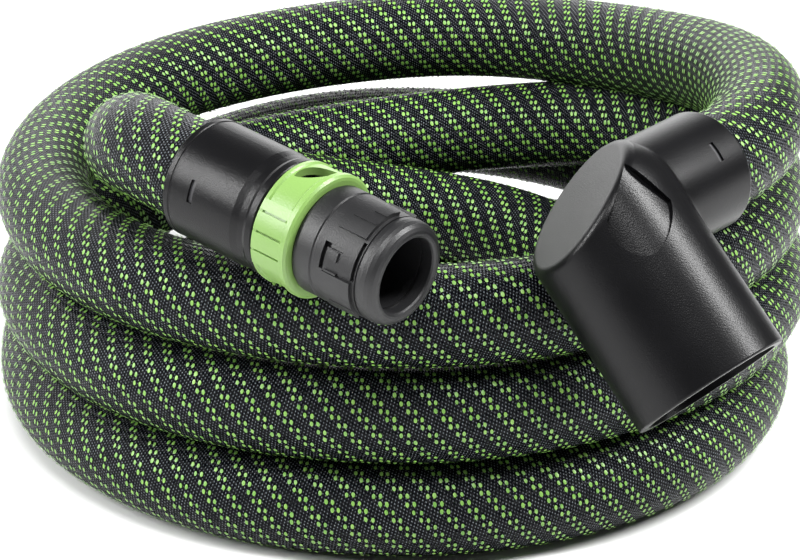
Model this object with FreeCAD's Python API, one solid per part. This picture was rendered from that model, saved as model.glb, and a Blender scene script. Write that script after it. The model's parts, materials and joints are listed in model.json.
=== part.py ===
"""Dust extraction hose, wound into a coil, with a tool connector and an elbow for the extractor.

Millimetres, +Z up. The coil stands on the floor, the tool connector and the elbow lie on top of it.
Points of the hose and of the fittings are given from the coil's own axis and moved by COIL_AXIS.
"""
import FreeCAD, Part
import math
import os

V = FreeCAD.Vector

# ---- driving dimensions -------------------------------------------------------------------
HOSE_D = 36.0                       # outside of the textile sleeve
HOSE_R = HOSE_D / 2
TURN_R = 138.0                      # centre line of a wound turn
TURN_Z = [18.0, 54.5, 91.0]         # centre heights of the three stacked turns
WEB_HALF = 10.0                     # half width of the coil's section between two turns
TOP_START = 66.4                    # angle where the hose leaves the coil for the elbow
COIL_AXIS = V(0, 16.2, 0)           # puts the row's origin under the middle of its box

PORT_R = 13.5                       # bore that takes the tool's 27 mm port
SPIGOT_R = 28.5                     # outside of the elbow's extractor socket
SPIGOT_BORE_R = 25.0
SPIGOT_LENGTH = 67.0                # from the elbow's centre to its mouth
SLEEVE_LENGTH = 56.0                # from the elbow's centre to the hose end

COLLAR_R = 21.5                     # outside of both fittings where they hold the hose
COLLAR_BORE_R = 18.9
COLLAR_LENGTH = 41.0
HOSE_END = 3.0                      # how far the hose reaches into a fitting
CUFF_END = 34.0
CUFF_R = 17.6
CUFF_BORE_R = 14.0
SNAP_AT = 30.0                      # centre of the snap ring's groove
SNAP_ROOT_R = 16.4
LATCH_AT = 12.5
LATCH_WIDTH = 2.2

RING_START = 41.4                   # bypass ring
RING_END = 57.6
RING_R = 22.4
DRUM_R = 18.3                       # drum under the bypass ring
SOCKET_START = 58.0
LIP_START = 84.6
TOOL_LENGTH = 92.4

# ---- where the fittings lie ---------------------------------------------------------------
TOOL_RIM = V(-67.3, -120.9, 136.3)
TOOL_MOUTH = V(1.3, -178.7, 123.6)
ELBOW_CENTRE = V(68.0, -150.6, 131.6)
SPIGOT_AXIS = V(0.5402, -0.4402, -0.7173)
SLEEVE_HINT = V(0.70, 0.714, 0.0)

# ---- the hose where it isn't coiled, hand-placed ------------------------------------------
EXTRACTOR_ROUTE = [(132.5, -52, 135), (132.5, -12, 131), (126, 28, 124.5), (111, 67, 116.5),
                   (86, 101, 108), (55.2, 126.1, 101.1)]
TOOL_ROUTE = [(62, -46, 18.5), (80, -22, 20), (88, 8, 23), (84, 40, 28), (66, 66, 34), (38, 80, 39),
              (6, 85, 43), (-26, 80, 49), (-54, 66, 58), (-75, 45, 72), (-88, 18, 89),
              (-95, -12, 105), (-98, -44, 119), (-96, -76, 133)]
STRAIGHT_OUT = 27.0                 # how far the hose runs straight outside a fitting


def frame_at(origin, z_axis, x_hint):
    """Placement whose Z is z_axis and whose X leans to x_hint."""
    ez = V(z_axis)
    ez.normalize()
    ex = V(x_hint) - ez * V(x_hint).dot(ez)
    ex.normalize()
    ey = ez.cross(ex)
    matrix = FreeCAD.Matrix(ex.x, ey.x, ez.x, origin.x,
                            ex.y, ey.y, ez.y, origin.y,
                            ex.z, ey.z, ez.z, origin.z,
                            0, 0, 0, 1)
    return FreeCAD.Placement(matrix)


def turned(points):
    """Solid of revolution about Z from (radius, height) corners."""
    corners = [V(r, 0, z) for r, z in points]
    wire = Part.makePolygon(corners + corners[:1])
    return Part.Face(wire).revolve(V(0, 0, 0), V(0, 0, 1), 360)


def tube(z0, z1, r_out, r_in):
    return turned([(r_in, z0), (r_out, z0), (r_out, z1), (r_in, z1)])


def sector(z0, z1, r_out, r_in, start_deg, end_deg):
    """Part of a tube, between two angles about Z."""
    corners = [V(r_in, 0, z0), V(r_out, 0, z0), V(r_out, 0, z1), V(r_in, 0, z1)]
    face = Part.Face(Part.makePolygon(corners + corners[:1]))
    face.rotate(V(0, 0, 0), V(0, 0, 1), start_deg)
    return face.revolve(V(0, 0, 0), V(0, 0, 1), end_deg - start_deg)


def edges_at(shape, test):
    """Edges whose middle point passes the test."""
    found = []
    for edge in shape.Edges:
        middle = edge.valueAt((edge.FirstParameter + edge.LastParameter) / 2)
        if test(middle):
            found.append(edge)
    return found


def cord_path(points):
    """Straight runs joined by tangent arcs, as large as the runs allow."""
    edges = []
    radii = []
    last = points[0]
    for before, corner, after in zip(points, points[1:], points[2:]):
        into = corner - before
        out = after - corner
        half_turn = into.getAngle(out) / 2
        reach = 0.45 * min(into.Length, out.Length)
        radii.append(reach / math.tan(half_turn))
        into.normalize()
        out.normalize()
        start = corner - into * reach
        end = corner + out * reach
        to_centre = out - into
        to_centre.normalize()
        apex = corner + to_centre * (radii[-1] * (1 / math.cos(half_turn) - 1))
        edges.append(Part.LineSegment(last, start).toShape())
        edges.append(Part.Arc(start, apex, end).toShape())
        last = end
    edges.append(Part.LineSegment(last, points[-1]).toShape())
    return Part.Wire(edges), radii


def hose_run(name, points):
    """Solid hose along its route, and a print of the radii it bends at."""
    path, radii = cord_path(points)
    start_direction = points[1] - points[0]
    section = Part.Wire(Part.makeCircle(HOSE_R, points[0], start_direction))
    solid = path.makePipeShell([section], True, False)
    expected = math.pi * HOSE_R ** 2 * path.Length
    print(name, "length", round(path.Length, 1), "volume ratio", round(solid.Volume / expected, 4))
    print(name, "bend radii", [round(r) for r in radii])
    return solid


# ---- hose ---------------------------------------------------------------------------------

def coil_section():
    """Three round turns on top of each other, joined by a web."""
    levels = TURN_Z
    outer = []
    half = HOSE_R
    gap_dz = math.sqrt(half ** 2 - WEB_HALF ** 2)
    edges = []
    for i, z in enumerate(levels):
        low = V(TURN_R + WEB_HALF, 0, z - gap_dz)
        high = V(TURN_R + WEB_HALF, 0, z + gap_dz)
        if i == 0:
            low = V(TURN_R, 0, z - half)
        if i == len(levels) - 1:
            high = V(TURN_R, 0, z + half)
        outer.append((low, V(TURN_R + half, 0, z), high))
    inner = [(V(2 * TURN_R - h.x, 0, h.z), V(2 * TURN_R - m.x, 0, m.z), V(2 * TURN_R - l.x, 0, l.z))
             for l, m, h in reversed(outer)]
    arcs = outer + inner
    for i, (start, middle, end) in enumerate(arcs):
        edges.append(Part.Arc(start, middle, end).toShape())
        following = arcs[(i + 1) % len(arcs)][0]
        if end.distanceToPoint(following) > 1e-6:
            edges.append(Part.LineSegment(end, following).toShape())
    return Part.Face(Part.Wire(edges))


def strand(centre, radius, tilt_deg, start_deg, sweep_deg):
    """One bent stretch of hose that stands out of the stack."""
    circle = Part.makeCircle(HOSE_R, V(radius, 0, 0), V(0, 1, 0))
    face = Part.Face(Part.Wire(circle))
    face.rotate(V(0, 0, 0), V(0, 0, 1), start_deg)
    solid = face.revolve(V(0, 0, 0), V(0, 0, 1), sweep_deg)
    solid.rotate(V(0, 0, 0), V(1, 0, 0), tilt_deg)
    solid.translate(centre)
    return solid


def hose_coil():
    """The wound turns: the stack, the turns that stand out behind, and the loose inner turn."""
    stack = coil_section().revolve(V(0, 0, 0), V(0, 0, 1), 360)
    top_behind = strand(V(0, 0, TURN_Z[2] + 0.2), TURN_R, 4.5, TOP_START, 104)
    outer_behind = strand(V(0, 17, TURN_Z[1] + 1), TURN_R, 0, 10, 160)
    inner_behind = strand(V(0, -22, 62), TURN_R - 2, 0, 30, 120)
    inner_turn = strand(V(2, 30, TURN_Z[0] + 0.2), 94, 0, 80, 226.6)
    solid = stack
    for piece in (top_behind, outer_behind, inner_behind, inner_turn):
        solid = solid.fuse(piece)
    return solid.removeSplitter()


# ---- parts that both hose ends share ------------------------------------------------------

def cuff():
    """Sleeve that ends the hose, with a groove for the snap ring and one for the seal."""
    body = tube(HOSE_END, CUFF_END, CUFF_R, CUFF_BORE_R)
    body = body.cut(tube(SNAP_AT - 1.0, SNAP_AT + 1.0, CUFF_R + 1, SNAP_ROOT_R))
    return body.cut(tube(16.0, 18.0, CUFF_R + 1, CUFF_R - 1.0))


def cuff_thread():
    """Ribs on the cuff's nose that the hose's liner screws over."""
    body = tube(HOSE_END + 0.4, 15.0, CUFF_BORE_R, CUFF_BORE_R - 1.4)
    for i in range(4):
        body = body.cut(tube(5.0 + 2.4 * i, 6.2 + 2.4 * i, CUFF_BORE_R - 0.7, CUFF_BORE_R - 2))
    return body


def swivel_seal():
    return tube(16.1, 17.9, 18.5, CUFF_R - 0.95)


def snap_ring():
    return sector(SNAP_AT - 0.9, SNAP_AT + 0.9, 18.5, SNAP_ROOT_R + 0.05, 35, 325)


def contact_strip():
    """Antistatic contact that carries charge from the hose's liner to the cuff."""
    return sector(17.0, CUFF_END - 0.5, CUFF_BORE_R, CUFF_BORE_R - 0.6, 165, 195)


def retaining_bore():
    """What is taken out of a fitting so that it turns about the cuff and can't slide off."""
    rim_r = HOSE_R + 0.6
    return turned([(0, -1), (rim_r, -1), (rim_r, 2.0), (COLLAR_BORE_R, 2.6), (COLLAR_BORE_R, 26.6),
                   (17.95, 26.6), (17.95, 28.7), (COLLAR_BORE_R, 28.7), (COLLAR_BORE_R, 31.3),
                   (17.95, 31.3), (17.95, CUFF_END + 0.4), (0, CUFF_END + 0.4)])


def latch_slot(start_deg, end_deg, r_out):
    """Window through the wall where the latch shows."""
    half = LATCH_WIDTH / 2
    return sector(LATCH_AT - half, LATCH_AT + half, r_out, COLLAR_BORE_R - 0.5, start_deg, end_deg)


def latch(start_deg, end_deg):
    half = LATCH_WIDTH / 2
    return sector(LATCH_AT - half, LATCH_AT + half, 20.6, COLLAR_BORE_R, start_deg, end_deg)


# ---- tool connector, along its own axis from the hose to the tool --------------------------

COLLAR_SLOT = (64, 86)


def tool_collar():
    outer = turned([(0, 0), (20.7, 0), (COLLAR_R, 0.8), (COLLAR_R, 2.6), (21.2, 2.9), (21.2, 3.3),
                    (21.4, 3.6), (21.4, 31.5), (21.0, 34.5), (20.9, 37.0), (21.3, 38.2), (21.3, 40.6),
                    (20.9, COLLAR_LENGTH), (0, COLLAR_LENGTH)])
    bore = retaining_bore().fuse(turned([(0, CUFF_END), (COLLAR_BORE_R, CUFF_END + 0.4),
                                         (COLLAR_BORE_R, 45), (0, 45)]))
    body = outer.cut(bore)
    return body.cut(latch_slot(COLLAR_SLOT[0], COLLAR_SLOT[1], 23))


PORT_WIDTH = 9.0


def tool_core():
    """Drum and inner pipe in one, with the two bypass ports."""
    body = turned([(14.6, 35.0), (COLLAR_BORE_R, 35.0), (COLLAR_BORE_R, 41.0), (DRUM_R, 41.0),
                   (DRUM_R, SOCKET_START), (15.6, SOCKET_START), (15.6, LIP_START), (14.6, LIP_START)])
    for groove in (42.6, 55.2):
        body = body.cut(tube(groove, groove + 1.4, DRUM_R + 1, DRUM_R - 0.9))
    for angle in (8, 188):
        port = Part.makeBox(12, 13.0, PORT_WIDTH, V(11, -6.5, 45.0))
        port.rotate(V(0, 0, 0), V(0, 0, 1), angle)
        body = body.cut(port)
    return body


def bypass_seals():
    low = tube(42.65, 43.95, DRUM_R + 0.1, DRUM_R - 0.85)
    return Part.makeCompound([low, tube(55.25, 56.55, DRUM_R + 0.1, DRUM_R - 0.85)])


GRIP_PADS = ((50, 60), (62, 78.5), (80.5, 96.5), (98.5, 113))


def bypass_ring():
    """Grip ring with pads, two raised lips and leaf-shaped windows."""
    body = turned([(DRUM_R + 0.4, RING_START), (20.9, RING_START), (21.9, RING_START + 0.7),
                   (22.1, RING_START + 2.2), (21.5, RING_START + 2.8), (21.5, RING_END - 4.0),
                   (RING_R, RING_END - 2.8), (RING_R, RING_END - 1.0), (21.6, RING_END - 0.2),
                   (20.6, RING_END), (DRUM_R + 0.4, RING_END)])
    for side in (0, 180):
        for start, end in GRIP_PADS:
            pad = sector(RING_START + 0.9, RING_END - 2.4, RING_R - 0.1, 21.0, side + start, side + end)
            body = body.fuse(pad)
    body = body.removeSplitter()
    for side in (0, 180):
        body = body.cut(leaf_window(side))
    return body


def leaf_window(angle):
    """Slanting leaf with two pointed ends, cut through the ring."""
    tips = [V(0, 6.8, 45.2), V(0, -6.8, 53.6)]
    upper = Part.Arc(tips[0], V(0, 2.3, 52.2), tips[1]).toShape()
    lower = Part.Arc(tips[1], V(0, -2.3, 46.6), tips[0]).toShape()
    leaf = Part.Face(Part.Wire([upper, lower])).extrude(V(30, 0, 0))
    leaf.rotate(V(0, 0, 0), V(0, 0, 1), angle)
    return leaf


def tool_socket():
    """Rubber socket with its grooves, bayonet blocks, ridges and U-shaped pockets."""
    body = turned([(15.6, SOCKET_START), (18.9, SOCKET_START), (19.3, 58.6), (19.3, 65.4),
                   (18.8, 65.8), (18.8, 66.5), (19.3, 66.9), (19.1, 70.0), (18.8, 77.0),
                   (18.4, LIP_START), (15.6, LIP_START)])
    for side in (0, 180):
        for start, end in ((0, 42), (100, 140)):
            body = body.fuse(sector(71.4, 83.4, 19.7, 18.2, side + start - 10, side + end))
            ridge = (side + start + 23.0, side + start + 25.0)
            body = body.fuse(sector(73.6, 83.0, 20.05, 19.0, ridge[0], ridge[1]))
        body = body.fuse(sector(78.2, 83.4, 20.0, 19.0, side - 2, side + 10))
        body = body.fuse(sector(72.4, 76.4, 19.5, 18.4, side + 66, side + 76))
        body = body.fuse(sector(72.4, 77.4, 19.7, 18.4, side + 87, side + 89))
        body = body.cut(sector(69.7, 71.3, 21, 17.3, side + 60, side + 89))
        body = body.cut(sector(69.7, 77.4, 21, 17.3, side + 60, side + 65))
        body = body.cut(sector(82.9, 84.3, 21, 17.0, side + 45, side + 88))
    return body.removeSplitter()


def socket_lip():
    """Thick rounded rim, with a groove inside that grips the tool's port."""
    body = turned([(PORT_R, LIP_START), (18.0, LIP_START), (18.4, 85.3), (18.6, 87.0), (18.5, 88.8),
                   (18.1, 90.3), (17.2, 91.5), (16.1, 92.2), (15.2, TOOL_LENGTH), (14.4, 92.3),
                   (13.8, 91.9), (PORT_R, 91.2)])
    return body.cut(tube(86.4, 87.8, 14.6, 12))


def socket_liner():
    """Soft sleeve that seals on the tool's port."""
    return tube(60.0, LIP_START, 14.6, PORT_R)


# ---- elbow, X towards the hose, Z towards the extractor -------------------------------------

CAP_SLOPE = 0.646                   # fall of the slanted top across the socket
CAP_HEIGHT = 12.1                   # top above the centre, on the socket's axis
CAP_ROUND = 4.0                     # rounding of its rim
ELBOW_WALL = 2.6
SLEEVE_SLOT = (260, 280)


def above_cap(offset):
    """Half space over the slanted top, moved down into the elbow by offset."""
    block = Part.makeBox(200, 200, 100, V(-100, -100, -100))
    block.rotate(V(0, 0, 0), V(0, 1, 0), math.degrees(math.atan(CAP_SLOPE)))
    normal = V(-CAP_SLOPE, 0, -1)
    normal.normalize()
    block.translate(V(0, 0, -CAP_HEIGHT) - normal * offset)
    return block


def cylinder_along(axis, start, end, radius):
    return Part.makeCylinder(radius, end - start, axis * start, axis)


def thumb_recess():
    """Shield-shaped hollow for a thumb, deepest at its top, on the side away from the coil."""
    apex = V(6.2, 0, -9.5)
    right = V(13.0, 0, 8.7)
    left = V(-11.2, 0, 4.0)
    curve = Part.BSplineCurve()
    curve.interpolate([right, V(5.6, 0, 17.3), V(-6.5, 0, 21.0), V(-12.0, 0, 13.5), left])
    sides = [Part.LineSegment(apex, right), Part.LineSegment(left, apex)]
    edges = [sides[0].toShape(), curve.toShape(), sides[1].toShape()]
    prism = Part.Face(Part.Wire(edges)).extrude(V(0, 60, 0))
    prism.rotate(V(0, 0, 0), V(0, 0, 1), 20)
    floor = Part.makeCone(24.6, 27.9, 48, V(0, 0, -24), V(0, 0, 1))
    return prism.cut(floor)


def rounded_socket(radius, length):
    """Socket that ends in a ball about the elbow's centre."""
    body = cylinder_along(V(0, 0, 1), 0, length, radius)
    return body.fuse(Part.makeSphere(radius, V(0, 0, 0), V(0, 0, 1)))


def elbow_body():
    x_axis = V(1, 0, 0)
    outer = rounded_socket(SPIGOT_R, SPIGOT_LENGTH)
    outer = outer.fuse(cylinder_along(x_axis, 0, SLEEVE_LENGTH, COLLAR_R))
    outer = outer.cut(above_cap(0)).removeSplitter()
    seam = edges_at(outer, lambda p: 15 < p.x < 28 and abs(math.hypot(p.y, p.z) - COLLAR_R) < 0.05)
    outer = outer.makeFillet(3.0, seam)
    normal = V(-CAP_SLOPE, 0, -1)
    normal.normalize()
    rim = edges_at(outer, lambda p: abs((p - V(0, 0, -CAP_HEIGHT)).dot(normal)) < 0.02)
    outer = outer.makeFillet(CAP_ROUND, rim)
    mouth = edges_at(outer, lambda p: abs(p.z - SPIGOT_LENGTH) < 0.01)
    outer = outer.makeFillet(0.8, mouth)
    end = edges_at(outer, lambda p: abs(p.x - SLEEVE_LENGTH) < 0.01)
    outer = outer.makeFillet(1.0, end)
    inner = rounded_socket(SPIGOT_BORE_R, SPIGOT_LENGTH + 1)
    inner = inner.fuse(cylinder_along(x_axis, 0, SLEEVE_LENGTH, CUFF_BORE_R)).cut(above_cap(ELBOW_WALL))
    holder = retaining_bore()
    holder.Placement = frame_at(V(SLEEVE_LENGTH, 0, 0), V(-1, 0, 0), V(0, 0, -1))
    slot = latch_slot(SLEEVE_SLOT[0], SLEEVE_SLOT[1], 23)
    slot.Placement = holder.Placement
    return outer.cut(inner).cut(holder).cut(slot).cut(thumb_recess())


def mouth_seal():
    """Rubber ring inside the mouth."""
    return tube(56.0, 61.0, SPIGOT_BORE_R, SPIGOT_BORE_R - 0.9)


# ---- assembly -------------------------------------------------------------------------------

def place(shape, placement):
    """A copy of the shape in the row's frame."""
    moved = shape.copy()
    moved.Placement = FreeCAD.Placement(COIL_AXIS, FreeCAD.Rotation()).multiply(placement)
    return moved


def build():
    up = V(0, 0, 1)
    home = FreeCAD.Placement()
    tool = frame_at(TOOL_RIM, TOOL_MOUTH - TOOL_RIM, up)
    elbow = frame_at(ELBOW_CENTRE, SPIGOT_AXIS, SLEEVE_HINT)
    sleeve_x = elbow.Rotation.multVec(V(1, 0, 0))
    sleeve_rim = ELBOW_CENTRE + sleeve_x * SLEEVE_LENGTH
    sleeve = frame_at(sleeve_rim, -sleeve_x, -SPIGOT_AXIS)
    print("sleeve axis", sleeve_x, "sleeve rim", sleeve_rim)

    tool_x = tool.Rotation.multVec(up)
    extractor_points = [sleeve_rim - sleeve_x * HOSE_END, sleeve_rim + sleeve_x * STRAIGHT_OUT]
    extractor_points += [V(*p) for p in EXTRACTOR_ROUTE]
    tool_points = [V(*p) for p in TOOL_ROUTE]
    tool_points += [TOOL_RIM - tool_x * STRAIGHT_OUT, TOOL_RIM + tool_x * HOSE_END]

    nodes = {
        "hose_coil": place(hose_coil(), home),
        "hose_run_extractor": place(hose_run("hose_run_extractor", extractor_points), home),
        "hose_run_tool": place(hose_run("hose_run_tool", tool_points), home),
        "tool_collar": place(tool_collar(), tool),
        "tool_collar_latch": place(latch(*COLLAR_SLOT), tool),
        "tool_core": place(tool_core(), tool),
        "bypass_seals": place(bypass_seals(), tool),
        "bypass_ring": place(bypass_ring(), tool),
        "tool_socket": place(tool_socket(), tool),
        "socket_lip": place(socket_lip(), tool),
        "socket_liner": place(socket_liner(), tool),
        "elbow_body": place(elbow_body(), elbow),
        "elbow_latch": place(latch(*SLEEVE_SLOT), sleeve),
        "elbow_mouth_seal": place(mouth_seal(), elbow),
    }
    for end, where in (("tool", tool), ("elbow", sleeve)):
        nodes[end + "_cuff"] = place(cuff(), where)
        nodes[end + "_cuff_thread"] = place(cuff_thread(), where)
        nodes[end + "_swivel_seal"] = place(swivel_seal(), where)
        nodes[end + "_snap_ring"] = place(snap_ring(), where)
        nodes[end + "_contact_strip"] = place(contact_strip(), where)
    return nodes


def main():
    os.makedirs("parts", exist_ok=True)
    nodes = build()
    box = FreeCAD.BoundBox()
    for name, shape in nodes.items():
        shape.exportStep("parts/" + name + ".step")
        exact = shape.optimalBoundingBox(False)
        box.add(exact)
        volume = round(shape.Volume / 1000, 2)
        print(name, "valid", shape.isValid(), "solids", len(shape.Solids), "cm3", volume)
    print("box", [round(v, 2) for v in (box.XMin, box.XMax, box.YMin, box.YMax, box.ZMin, box.ZMax)])


main()
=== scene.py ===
import bpy
import bmesh
import json
import math
import numpy as np
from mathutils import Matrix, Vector


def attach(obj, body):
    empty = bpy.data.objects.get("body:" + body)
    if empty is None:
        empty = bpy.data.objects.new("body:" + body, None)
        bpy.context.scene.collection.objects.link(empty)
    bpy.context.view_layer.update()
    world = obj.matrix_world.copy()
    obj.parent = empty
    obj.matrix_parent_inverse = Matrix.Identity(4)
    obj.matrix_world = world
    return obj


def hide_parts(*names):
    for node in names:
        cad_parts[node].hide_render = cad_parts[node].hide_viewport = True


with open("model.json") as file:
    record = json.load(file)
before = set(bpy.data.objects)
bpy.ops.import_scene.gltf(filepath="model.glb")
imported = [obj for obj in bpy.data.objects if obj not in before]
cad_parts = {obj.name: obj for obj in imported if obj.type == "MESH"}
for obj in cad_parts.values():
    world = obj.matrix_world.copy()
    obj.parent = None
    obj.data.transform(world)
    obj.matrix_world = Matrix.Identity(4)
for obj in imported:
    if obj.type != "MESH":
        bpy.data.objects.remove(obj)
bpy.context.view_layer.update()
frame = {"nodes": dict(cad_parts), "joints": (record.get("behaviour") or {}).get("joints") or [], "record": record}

# ---- sizes, in metres -------------------------------------------------------------------------
SLEEVE_R = 0.01775                  # ground of the weave, the flecks stand on it
COIL_AXIS = Vector((0, 0.0162, 0))
ROWS = 40                           # yarn cells round the sleeve
CELL = 0.00214                      # one yarn cell along it
STRETCHES = 8                       # the flecks are made in so many stretches
OUTWARD = 1.0194                    # a smooth line cuts inside its points by this much
SLEEVE_LENGTH = 0.056               # from the elbow's centre to the hose end
LENS = 141.26                       # millimetres
VIEW_LIFT = 22.7                    # degrees above the floor
VIEW_DISTANCE = 1.229
VIEW_HEIGHT = 0.047                 # height that the view is centred on

# The hose's line: straight out of the elbow and down onto the coil
FROM_ELBOW = [(0.1325, -0.052, 0.135), (0.1325, -0.012, 0.131), (0.126, 0.028, 0.1245),
              (0.111, 0.067, 0.1165), (0.086, 0.101, 0.110)]
# ... round the coil, as angle in degrees, radius and height in millimetres
TURNS = [(72, 137.5, 104.5), (90, 137.5, 101.5), (112, 137.5, 98), (135, 137, 96), (157, 136.5, 93.5),
         (180, 136.5, 92), (202, 137, 91.5), (225, 138, 91.3), (247, 138, 91.3), (270, 138, 91.3),
         (292, 138, 91.3), (315, 138.5, 91.3), (337, 138.5, 91), (360, 138, 90.5), (382, 136.5, 87),
         (405, 130, 79.5), (427, 121, 70.5), (450, 115, 64), (472, 114, 60.5), (495, 117, 58.5),
         (517, 128, 57), (540, 138, 54.9), (562, 138.5, 54.7), (585, 138.5, 54.7), (607, 138, 54.7),
         (630, 138, 54.7), (652, 138, 54.7), (675, 138.5, 54.7), (697, 140, 54.5), (720, 141, 54),
         (742, 144, 51), (765, 149, 50.5), (787, 152, 53.5), (810, 152.5, 55.5), (832, 151, 53),
         (855, 149, 44), (877, 145, 27), (900, 138.5, 18.4), (922, 137.5, 18.2), (945, 137.5, 18.2),
         (967, 138, 18.2), (990, 138, 18.2), (1012, 138, 18.2), (1035, 137.5, 18.2),
         (1057, 136, 18.2), (1080, 134, 18.2), (1102, 133, 18.2), (1125, 131, 18.2),
         (1147, 129, 18.2), (1170, 126, 18.2)]
# ... round the loose turn inside it, from its own middle
INNER_MIDDLE = Vector((0.002, 0.030, 0.0182))
INNER_R = 0.0945
INNER_ANGLES = (115, 140, 165, 190, 215, 240, 265, 285)
# ... and up through the middle to the tool connector
TO_TOOL = [(0.062, -0.046, 0.0185), (0.080, -0.022, 0.020), (0.088, 0.008, 0.023),
           (0.084, 0.040, 0.028), (0.066, 0.066, 0.034), (0.038, 0.080, 0.039),
           (0.006, 0.085, 0.043), (-0.026, 0.080, 0.049), (-0.054, 0.066, 0.058),
           (-0.075, 0.045, 0.072), (-0.088, 0.018, 0.089), (-0.095, -0.012, 0.105),
           (-0.098, -0.044, 0.119), (-0.096, -0.076, 0.133)]
STRAIGHT_OUT = 0.027
HOSE_END = 0.003


# ---- where the fittings are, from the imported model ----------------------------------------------

def joint(name):
    """Place and direction of a joint."""
    found = [j for j in frame["joints"] if j["name"] == name][0]
    return Vector(found["pos_m"]), Vector(found["axis"]).normalized()


TOOL_RIM, TOOL_AXIS = joint("connector_swivel")
ELBOW_CENTRE, SLEEVE_IN = joint("elbow_swivel")
SLEEVE_RIM = ELBOW_CENTRE - SLEEVE_IN * SLEEVE_LENGTH


# ---- materials ----------------------------------------------------------------------------------

class Amount:
    """A number that changes over a surface; arithmetic on it adds Math nodes."""

    def __init__(self, finish, socket):
        self.finish = finish
        self.socket = socket

    def math(self, operation, *values):
        made = self.finish.node("Math", {"operation": operation}, dict(enumerate(values)))
        return Amount(self.finish, made.outputs[0])

    def __add__(self, other):
        return self.math("ADD", self, other)

    def __sub__(self, other):
        return self.math("SUBTRACT", self, other)

    def __rsub__(self, other):
        return self.math("SUBTRACT", other, self)

    def __mul__(self, other):
        return self.math("MULTIPLY", self, other)

    def __pow__(self, other):
        return self.math("POWER", self, other)

    def __abs__(self):
        return self.math("ABSOLUTE", self)

    def sine(self):
        return self.math("SINE", self)

    __radd__ = __add__
    __rmul__ = __mul__


class Finish:
    """One material: a Principled surface and the nodes that feed it."""

    def __init__(self, name, colour, roughness, **constants):
        self.material = bpy.data.materials.new(name)
        self.material.use_nodes = True
        self.nodes = self.material.node_tree.nodes
        self.links = self.material.node_tree.links
        self.surface = self.nodes["Principled BSDF"]
        self.put("Base Color", (*colour, 1.0))
        self.put("Roughness", roughness)
        for word, value in constants.items():
            self.put(word.replace("_", " ").title().replace("Ior", "IOR"), value)

    def put(self, name, value):
        self.feed(self.surface.inputs[name], value)

    def feed(self, socket, value):
        if isinstance(value, Amount):
            value = value.socket
        if isinstance(value, bpy.types.NodeSocket):
            self.links.new(value, socket)
        else:
            socket.default_value = value

    def node(self, kind, settings=None, values=None):
        """A node of this kind: its settings are set first, then its sockets' values or links."""
        made = self.nodes.new("ShaderNode" + kind)
        for key, value in (settings or {}).items():
            setattr(made, key, value)
        for key, value in (values or {}).items():
            self.feed(made.inputs[key], value)
        return made

    def place(self, stretch=(1, 1, 1)):
        """Object coordinates, stretched."""
        coordinates = self.node("TexCoord").outputs["Object"]
        return self.node("Mapping", None, {"Vector": coordinates, "Scale": stretch}).outputs[0]

    def noise(self, scale, detail=2.0, stretch=(1, 1, 1)):
        values = {"Vector": self.place(stretch), "Scale": scale, "Detail": detail}
        return Amount(self, self.node("TexNoise", None, values).outputs["Fac"])

    def grain(self, scale):
        """Rounded cells, as of moulded or eroded plastic."""
        made = self.node("TexVoronoi", {"feature": "SMOOTH_F1"}, {"Vector": self.place(), "Scale": scale})
        return Amount(self, made.outputs["Distance"])

    def tint(self, amount, first, second):
        """Base colour that goes from first to second as amount goes from 0 to 1."""
        mixed = self.node("Mix", {"data_type": "RGBA"}, {0: amount, 6: (*first, 1.0), 7: (*second, 1.0)})
        self.put("Base Color", mixed.outputs[2])

    def bump(self, height, depth, strength=1.0):
        values = {"Height": height, "Distance": depth, "Strength": strength}
        self.put("Normal", self.node("Bump", None, values).outputs["Normal"])


def sleeve_ground():
    """Near-black yarns between the flecks, with a shiny thread twisted over them whose glints are painted into the
    base colour as pale dashes (painted highlight).
    """
    finish = Finish("sleeve_ground", (0.012, 0.013, 0.019), 0.22, specular_ior_level=0.09)
    split = finish.node("SeparateXYZ", None, {0: finish.node("UVMap", {"uv_map": "cells"}).outputs[0]})
    along = Amount(finish, split.outputs[0]) * STEPS
    around = Amount(finish, split.outputs[1]) * ROWS
    twist = (along * 2 + around * 0.5 + finish.noise(420, 1) * 0.5) * (2 * math.pi)
    knots = (around * 2 - along) * (2 * math.pi)
    threads = (twist.sine() * 0.5 + 0.5) * (knots.sine() * 0.4 + 0.6)
    cells = abs((around * math.pi).sine())
    height = threads * 0.60 + cells * 0.40 + finish.noise(1100, 1) * 0.25
    finish.bump(height, 0.00090)
    finish.put("Roughness", 0.27 - threads * 0.14)
    # painted highlight: the thread's glints are painted as pale dashes in the base colour, so they show whether or
    # not a lamp reflects there
    painted_glints = threads ** 4 * (finish.noise(260, 1) * 1.6 - 0.15)
    finish.tint(painted_glints, (0.0010, 0.0014, 0.0026), (0.30, 0.33, 0.36))
    return finish.material


def fleck_yarn():
    """Lime yarn that shows where it passes over the ground."""
    finish = Finish("fleck_yarn", (0.25, 0.55, 0.10), 0.38, specular_ior_level=0.5)
    finish.tint(finish.noise(330, 2), (0.060, 0.240, 0.032), (0.30, 0.50, 0.11))
    finish.put("Roughness", 0.30 + finish.noise(1500, 1) * 0.25)
    return finish.material


def moulded(name, colour, worn, roughness, grain_size, depth, **constants):
    """Moulded plastic or rubber with a fine eroded grain and a slightly uneven tone."""
    finish = Finish(name, colour, roughness, **constants)
    cloud = finish.noise(38, 3)
    finish.tint(cloud, colour, worn)
    finish.put("Roughness", roughness - 0.05 + cloud * 0.10)
    height = finish.grain(1 / grain_size) * 0.7 + finish.noise(1.6 / grain_size, 2) * 0.3
    finish.bump(height, depth)
    return finish.material


def spring_steel():
    finish = Finish("spring_steel", (0.62, 0.62, 0.64), 0.28, metallic=1.0)
    finish.bump(finish.noise(600, 2, (1, 1, 8)), 0.00004)
    return finish.material


# ---- hose ---------------------------------------------------------------------------------------

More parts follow.
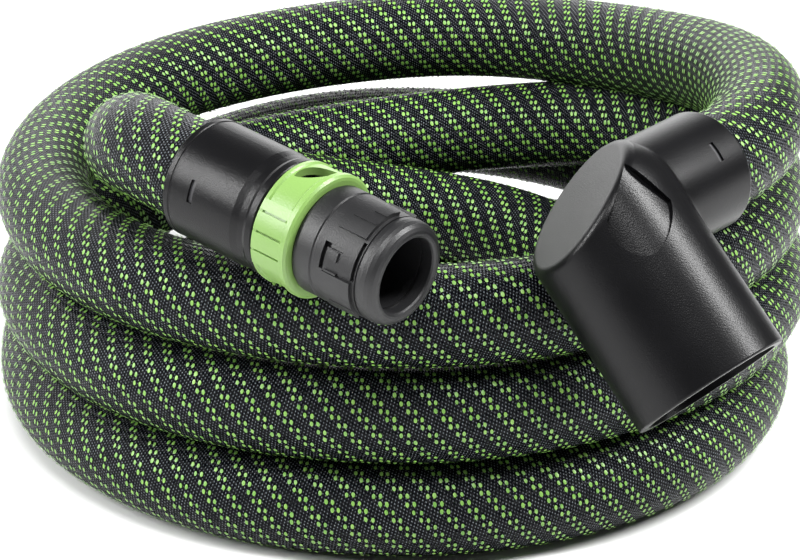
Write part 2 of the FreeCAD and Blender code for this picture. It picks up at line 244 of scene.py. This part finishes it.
def route():
    """The hose's points, from inside the elbow's sleeve to inside the tool connector."""
    points = [SLEEVE_RIM + SLEEVE_IN * HOSE_END, SLEEVE_RIM - SLEEVE_IN * STRAIGHT_OUT]
    points += [Vector(p) + COIL_AXIS for p in FROM_ELBOW]
    for angle, radius, height in TURNS:
        turn = math.radians(angle)
        reach = radius * OUTWARD / 1000
        points.append(Vector((reach * math.cos(turn), reach * math.sin(turn), height / 1000)) + COIL_AXIS)
    for angle in INNER_ANGLES:
        turn = math.radians(angle)
        out = Vector((math.cos(turn), math.sin(turn), 0))
        points.append(INNER_MIDDLE + out * INNER_R * OUTWARD + COIL_AXIS)
    points += [Vector(p) + COIL_AXIS for p in TO_TOOL]
    return points + [TOOL_RIM - TOOL_AXIS * STRAIGHT_OUT, TOOL_RIM + TOOL_AXIS * HOSE_END]


def smooth_line(points):
    """Points along the smooth line of the route, one for each yarn cell."""
    curve = bpy.data.curves.new("hose_line", "CURVE")
    curve.dimensions = "3D"
    spline = curve.splines.new("NURBS")
    spline.points.add(len(points) - 1)
    for place, point in zip(spline.points, points):
        place.co = (*point, 1.0)
    spline.order_u = 3
    spline.use_endpoint_u = True
    spline.resolution_u = 24
    holder = bpy.data.objects.new("hose_line", curve)
    mesh = bpy.data.meshes.new_from_object(holder)
    fine = np.array([v.co[:] for v in mesh.vertices])
    bpy.data.objects.remove(holder)
    bpy.data.meshes.remove(mesh)
    gone = np.concatenate([[0], np.cumsum(np.linalg.norm(np.diff(fine, axis=0), axis=1))])
    steps = int(round(gone[-1] / CELL))
    at = np.linspace(0, gone[-1], steps + 1)
    return np.stack([np.interp(at, gone, fine[:, i]) for i in range(3)], axis=1), gone[-1]


def carried_frames(line):
    """Forward, side and up directions along a line, carried on without twisting."""
    ahead = np.gradient(line, axis=0)
    ahead /= np.linalg.norm(ahead, axis=1)[:, None]
    side = np.zeros_like(ahead)
    first = np.cross((0, 0, 1), ahead[0])
    side[0] = first / np.linalg.norm(first)
    for i in range(1, len(line)):
        carried = side[i - 1] - ahead[i] * side[i - 1].dot(ahead[i])
        side[i] = carried / np.linalg.norm(carried)
    return ahead, side, np.cross(ahead, side)


LINE, HOSE_LENGTH = smooth_line(route())
STEPS = len(LINE) - 1
AHEAD, SIDE, UP = carried_frames(LINE)


def ring_places(i, radius, count):
    """Points round the hose at step i."""
    turn = np.arange(count) * (2 * np.pi / count)
    return LINE[i] + radius * (np.cos(turn)[:, None] * SIDE[i] + np.sin(turn)[:, None] * UP[i])


def piece_from(bm, name, material, body):
    """A finished piece that rides on a body."""
    mesh = bpy.data.meshes.new(name)
    bm.to_mesh(mesh)
    bm.free()
    return finished(mesh, name, material, body)


def finished(mesh, name, material, body):
    piece = bpy.data.objects.new(name, mesh)
    bpy.context.collection.objects.link(piece)
    mesh.materials.append(material)
    mesh.polygons.foreach_set("use_smooth", [True] * len(mesh.polygons))
    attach(piece, body)
    return piece


def hose_sleeve(material):
    """The sleeve: a ring of cells pulled along the line step by step, and closed at both ends."""
    bm = bmesh.new()
    cells = bm.loops.layers.uv.new("cells")
    ring = bmesh.ops.create_circle(bm, segments=ROWS, radius=SLEEVE_R)["verts"]
    for vert, place in zip(ring, ring_places(0, SLEEVE_R, ROWS)):
        vert.co = place
    edges = [bm.edges.get((ring[k], ring[(k + 1) % ROWS])) for k in range(ROWS)]
    bmesh.ops.contextual_create(bm, geom=edges)
    for i in range(1, STEPS + 1):
        made = bmesh.ops.extrude_edge_only(bm, edges=edges)["geom"]
        following = [None] * ROWS
        for edge in (e for e in made if isinstance(e, bmesh.types.BMEdge)):
            for face in edge.link_faces:
                for loop in face.loops:
                    loop[cells].uv.x = (i if loop.vert in edge.verts else i - 1) / STEPS
        before = {vert: k for k, vert in enumerate(ring)}
        for vert in (v for v in made if isinstance(v, bmesh.types.BMVert)):
            for edge in vert.link_edges:
                k = before.get(edge.other_vert(vert))
                if k is not None:
                    following[k] = vert
        for vert, place in zip(following, ring_places(i, SLEEVE_R, ROWS)):
            vert.co = place
        for k in range(ROWS):
            lower, upper = following[k], following[(k + 1) % ROWS]
            for face in bm.edges.get((lower, upper)).link_faces:
                for loop in face.loops:
                    row = k + 1 if loop.vert in (upper, ring[(k + 1) % ROWS]) else k
                    loop[cells].uv.y = row / ROWS
        ring = following
        edges = [bm.edges.get((ring[k], ring[(k + 1) % ROWS])) for k in range(ROWS)]
    bmesh.ops.contextual_create(bm, geom=edges)
    bmesh.ops.recalc_face_normals(bm, faces=bm.faces)
    return piece_from(bm, "hose_sleeve", material, "hose")


def fleck_shape():
    """One fleck: a lens pointed at both ends across the hose, crowned, about a yarn cell in size."""
    bm = bmesh.new()
    rim = bmesh.ops.create_circle(bm, cap_ends=True, segments=8, radius=1.0)["verts"]
    for vert in rim:
        vert.co = (vert.co.x * 0.00098, vert.co.y * 0.00142, -0.00008)
    crown = bmesh.ops.inset_region(bm, faces=bm.faces[:], thickness=0.0)
    top = [f for f in bm.faces if f not in crown["faces"]][0]
    for vert in top.verts:
        vert.co = (vert.co.x * 0.66, vert.co.y * 0.66, 0.00034)
    middle = bmesh.ops.poke(bm, faces=[top])["verts"][0]
    middle.co.z = 0.00050
    bmesh.ops.triangulate(bm, faces=bm.faces[:])
    bmesh.ops.recalc_face_normals(bm, faces=bm.faces)
    bm.verts.index_update()
    corners = np.array([v.co[:] for v in bm.verts])
    faces = np.array([[v.index for v in f.verts] for f in bm.faces])
    bm.free()
    return corners, faces


def fleck_stretch(number, material, chance):
    """Flecks on one stretch of the hose: two cells on, two off, one cell further on each row."""
    corners, faces = fleck_shape()
    first = number * STEPS // STRETCHES
    last = (number + 1) * STEPS // STRETCHES
    step, row = np.meshgrid(np.arange(first, last), np.arange(ROWS), indexing="ij")
    shown = (step - row) % 4 < 2
    step, row = step[shown], row[shown]
    count = len(step)
    turn = (row + 0.5 + chance.normal(0, 0.035, count)) * (2 * np.pi / ROWS)
    out = np.cos(turn)[:, None] * SIDE[step] + np.sin(turn)[:, None] * UP[step]
    lean = chance.normal(-0.16, 0.07, count)
    along = AHEAD[step]
    round_about = np.cross(along, out)
    wide = np.cos(lean)[:, None] * along + np.sin(lean)[:, None] * round_about
    high = np.cos(lean)[:, None] * round_about - np.sin(lean)[:, None] * along
    middle = LINE[step] * 0.5 + LINE[step + 1] * 0.5 + out * SLEEVE_R
    middle = middle + along * chance.normal(0, 0.00008, count)[:, None]
    size = chance.normal(1.0, 0.05, count)[:, None, None]
    laid = (middle[:, None, :] + (corners[None, :, 0:1] * wide[:, None, :]
            + corners[None, :, 1:2] * high[:, None, :]) * size + corners[None, :, 2:3] * out[:, None, :])
    mesh = bpy.data.meshes.new("flecks")
    all_faces = (faces[None] + np.arange(count)[:, None, None] * len(corners)).reshape(-1, 3)
    mesh.vertices.add(count * len(corners))
    mesh.vertices.foreach_set("co", laid.astype(np.float32).ravel())
    mesh.loops.add(all_faces.size)
    mesh.loops.foreach_set("vertex_index", all_faces.astype(np.int32).ravel())
    mesh.polygons.add(len(all_faces))
    mesh.polygons.foreach_set("loop_start", np.arange(0, all_faces.size, 3, dtype=np.int32))
    mesh.update(calc_edges=True)
    return finished(mesh, "hose_flecks_%d" % (number + 1), material, "hose")


# ---- room ---------------------------------------------------------------------------------------

def soft_light(name, place, aim, size, power):
    light = bpy.data.lights.new(name, "AREA")
    light.shape = "RECTANGLE"
    light.size = size[0]
    light.size_y = size[1]
    light.energy = power
    holder = bpy.data.objects.new(name, light)
    holder.location = place
    holder.rotation_euler = (Vector(aim) - Vector(place)).to_track_quat("-Z", "Y").to_euler()
    bpy.context.collection.objects.link(holder)


def room():
    bm = bmesh.new()
    bmesh.ops.create_grid(bm, x_segments=1, y_segments=1, size=6.0)
    mesh = bpy.data.meshes.new("floor")
    bm.to_mesh(mesh)
    bm.free()
    floor = bpy.data.objects.new("floor", mesh)
    bpy.context.collection.objects.link(floor)
    floor.data.materials.append(Finish("pale_floor", (0.86, 0.86, 0.86), 0.9).material)
    bpy.context.scene.view_settings.view_transform = "Standard"
    world = bpy.data.worlds.new("room")
    bpy.context.scene.world = world
    world.use_nodes = True
    sky = world.node_tree.nodes["Background"]
    sky.inputs["Color"].default_value = (1, 1, 1, 1)
    sky.inputs["Strength"].default_value = 0.07
    soft_light("overhead", (-0.05, -0.60, 1.25), (0, 0, 0.05), (0.8, 0.35), 17)
    soft_light("left_window", (-1.30, -0.36, 0.86), (0, 0, 0.10), (0.14, 0.9), 24)
    soft_light("right_window", (0.98, -0.12, 1.10), (0.05, 0, 0.10), (0.24, 0.8), 33)
    soft_light("backdrop", (-0.55, 1.45, 0.55), (0, 0, 0.12), (2.6, 1.0), 22)


def camera():
    lens = bpy.data.cameras.new("camera")
    lens.sensor_width = 36.0
    lens.lens = LENS
    holder = bpy.data.objects.new("camera", lens)
    lift = math.radians(VIEW_LIFT)
    target = COIL_AXIS + Vector((0, 0, VIEW_HEIGHT))
    holder.location = target + Vector((0, -math.cos(lift), math.sin(lift))) * VIEW_DISTANCE
    holder.rotation_euler = (math.pi / 2 - lift, 0, 0)
    bpy.context.collection.objects.link(holder)
    bpy.context.scene.camera = holder


# ---- the object ---------------------------------------------------------------------------------

chance = np.random.default_rng(27)
camera()
room()

sleeve = hose_sleeve(sleeve_ground())
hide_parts("hose_coil", "hose_run_extractor", "hose_run_tool")
yarn = fleck_yarn()
flecks = [fleck_stretch(n, yarn, chance) for n in range(STRETCHES)]

black = moulded("black_plastic", (0.0032, 0.0032, 0.0036), (0.0055, 0.0055, 0.0062), 0.31, 0.00042, 0.00007,
                specular_ior_level=0.20)
inner = moulded("inner_plastic", (0.030, 0.030, 0.033), (0.022, 0.022, 0.025), 0.50, 0.0006, 0.00005)
lime = moulded("lime_plastic", (0.170, 0.300, 0.075), (0.20, 0.345, 0.090), 0.36, 0.0006, 0.00006)
rubber = moulded("rubber", (0.0055, 0.0055, 0.0062), (0.0095, 0.0095, 0.0105), 0.44, 0.0005, 0.00008)
steel = spring_steel()
FINISHES = {"black_plastic": black, "inner_plastic": inner, "lime_plastic": lime, "rubber": rubber,
            "spring_steel": steel}
for part in frame["record"]["subparts"]:
    finish = FINISHES.get(part["material_slot"])
    if finish:
        slots = frame["nodes"][part["node"]].material_slots
        for slot in slots:
            slot.material = finish
